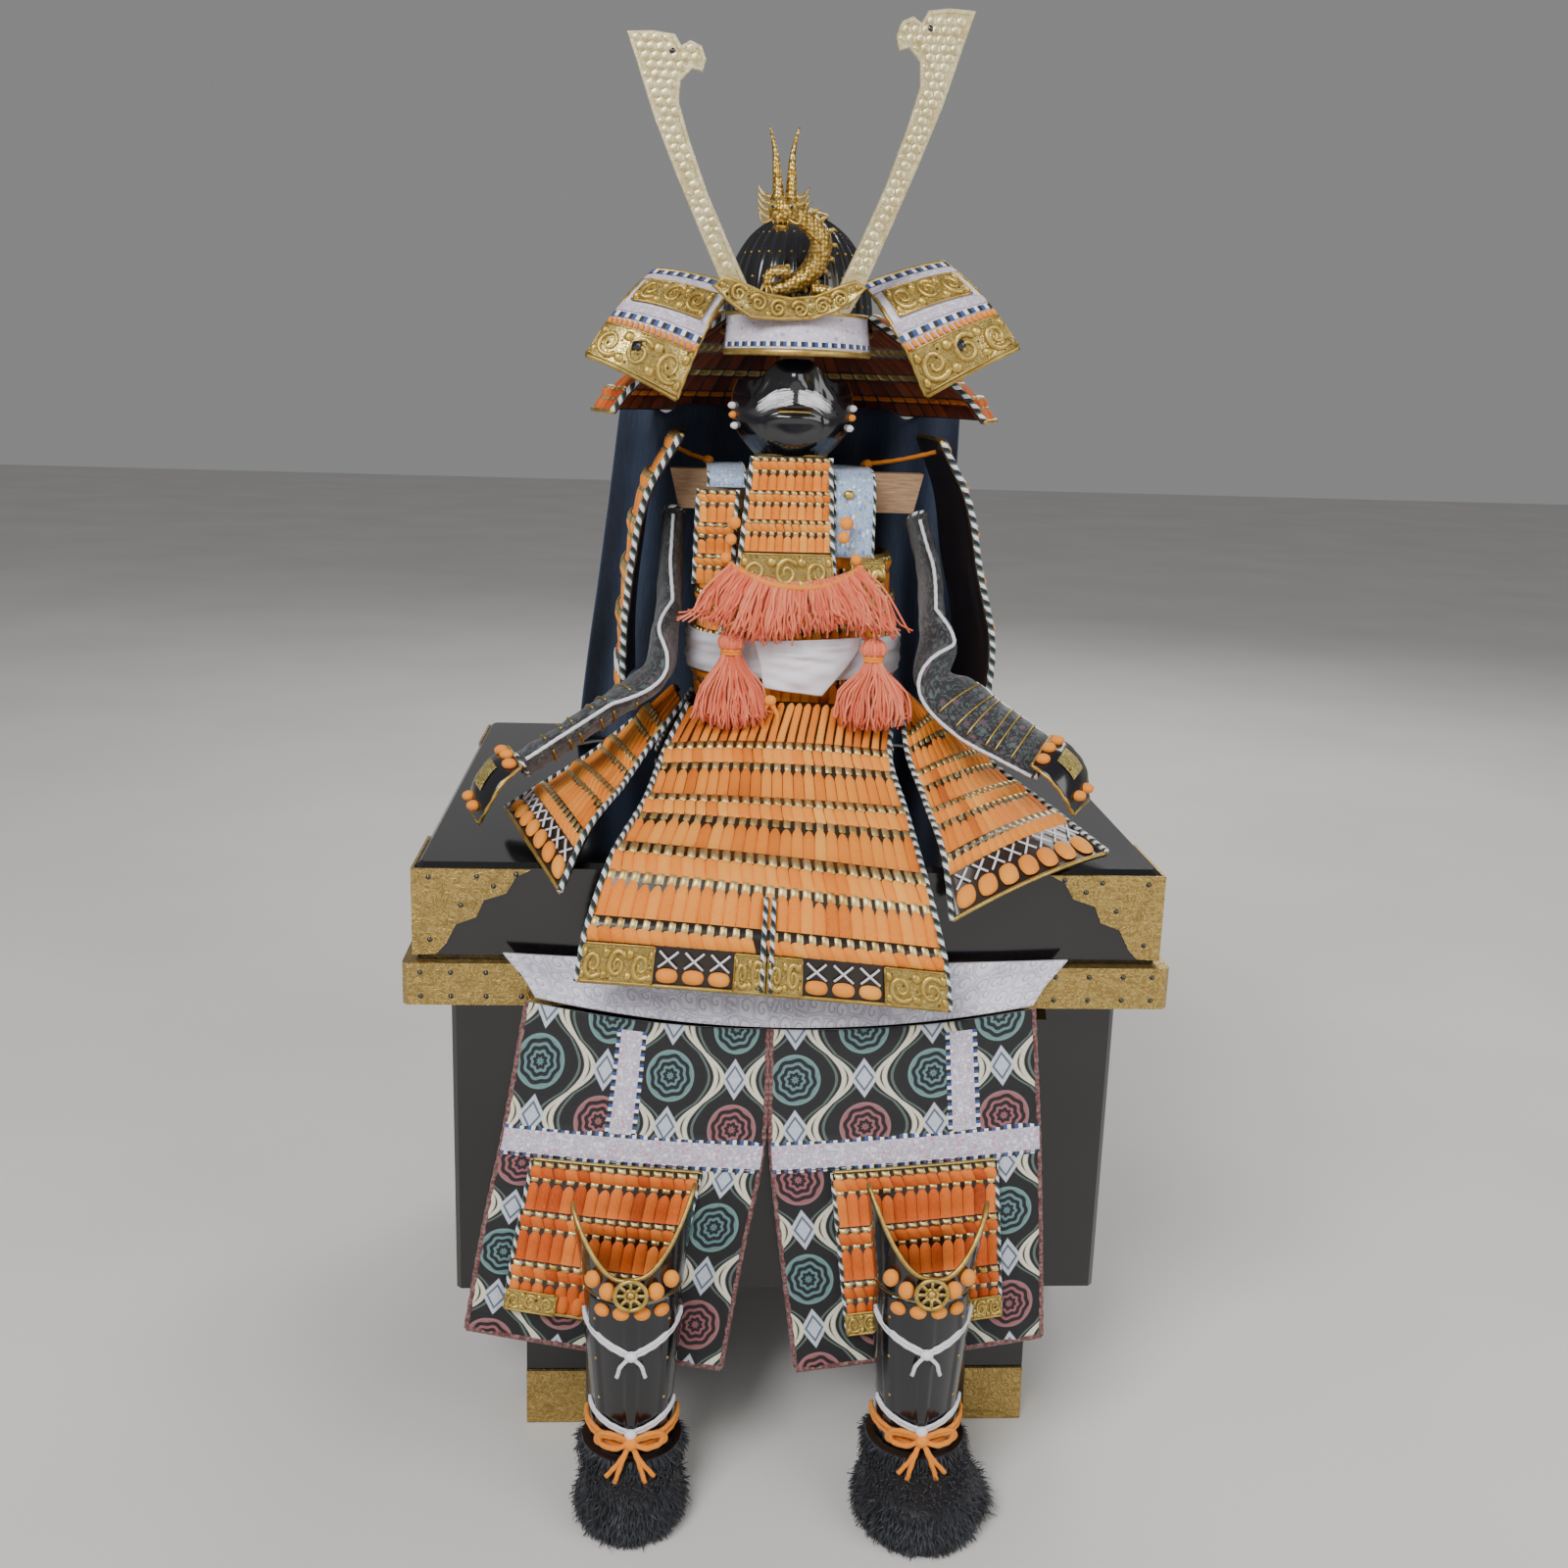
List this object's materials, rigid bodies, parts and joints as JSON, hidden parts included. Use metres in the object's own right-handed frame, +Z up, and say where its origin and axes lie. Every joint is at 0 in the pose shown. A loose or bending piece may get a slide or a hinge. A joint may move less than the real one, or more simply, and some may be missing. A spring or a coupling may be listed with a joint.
{
  "type": "samurai armour on armour chest",
  "caption": "Miniature laced samurai armour set with horned helmet, half mask and fur shoes, seated on a six-legged lacquered armour chest.",
  "frame": {"origin": "on the floor, under the middle of the whole set's bounding box", "axes": "+Z up, +X to the viewer's right, -Y towards the viewer, so the armour faces -Y"},
  "size_m": [0.3106, 0.3624, 0.5865],
  "materials": {
    "lacquer": "black lacquer",
    "gilt": "gilt, chased",
    "wood": "plain, unvarnished",
    "navy_cloth": "plain weave",
    "lacing": "braided silk cord over gilt scales",
    "blue_brocade": "figured weave",
    "white_cloth": "figured weave",
    "brocade": "figured weave",
    "black_plate": "black lacquer",
    "leather": "printed, edged",
    "silk": "loose silk strands",
    "fur": "short fur"
  },
  "bodies": {
    "root": {"chest_lid": "lacquer", "chest_body": "lacquer", "leg_front_left": "lacquer", "leg_front_right": "lacquer", "leg_side_right": "lacquer", "leg_back_right": "lacquer", "leg_back_left": "lacquer", "leg_side_left": "lacquer", "corner_plate_front_left": "gilt", "corner_plate_front_right": "gilt", "corner_plate_back_left": "gilt", "corner_plate_back_right": "gilt", "stand_post": "wood", "stand_crossbar": "wood", "cape": "navy_cloth", "torso": "lacing", "side_plate": "lacing", "throat_guard": "lacing", "breast_plate_left": "lacing", "breast_plate_right": "gilt", "strap_left": "blue_brocade", "strap_right": "blue_brocade", "belt": "white_cloth", "belt_drape": "white_cloth", "skirt_front": "lacing", "skirt_right": "lacing", "skirt_left": "lacing", "skirt_back": "lacing", "shoulder_guard_left": "lacing", "shoulder_guard_right": "lacing", "sleeve_left": "brocade", "sleeve_right": "brocade", "hand_guard_left": "black_plate", "hand_guard_right": "black_plate", "helmet_bowl": "black_plate", "visor": "leather", "neck_guard": "lacing", "turn_back_left": "leather", "turn_back_right": "leather", "horn_left": "gilt", "horn_right": "gilt", "crest_base": "gilt", "crest_dragon": "gilt", "face_mask": "black_plate", "tassel_left": "silk", "tassel_right": "silk", "tassel_fringe": "silk", "thigh_band": "white_cloth", "thigh_panel_left": "brocade", "thigh_plates_left": "lacing", "thigh_panel_right": "brocade", "thigh_plates_right": "lacing", "shin_guard_left": "black_plate", "knee_guard_left": "black_plate", "shoe_left": "fur", "ankle_bow_left": "lacing", "shin_guard_right": "black_plate", "knee_guard_right": "black_plate", "shoe_right": "fur", "ankle_bow_right": "lacing"}
  },
  "joints": []
}
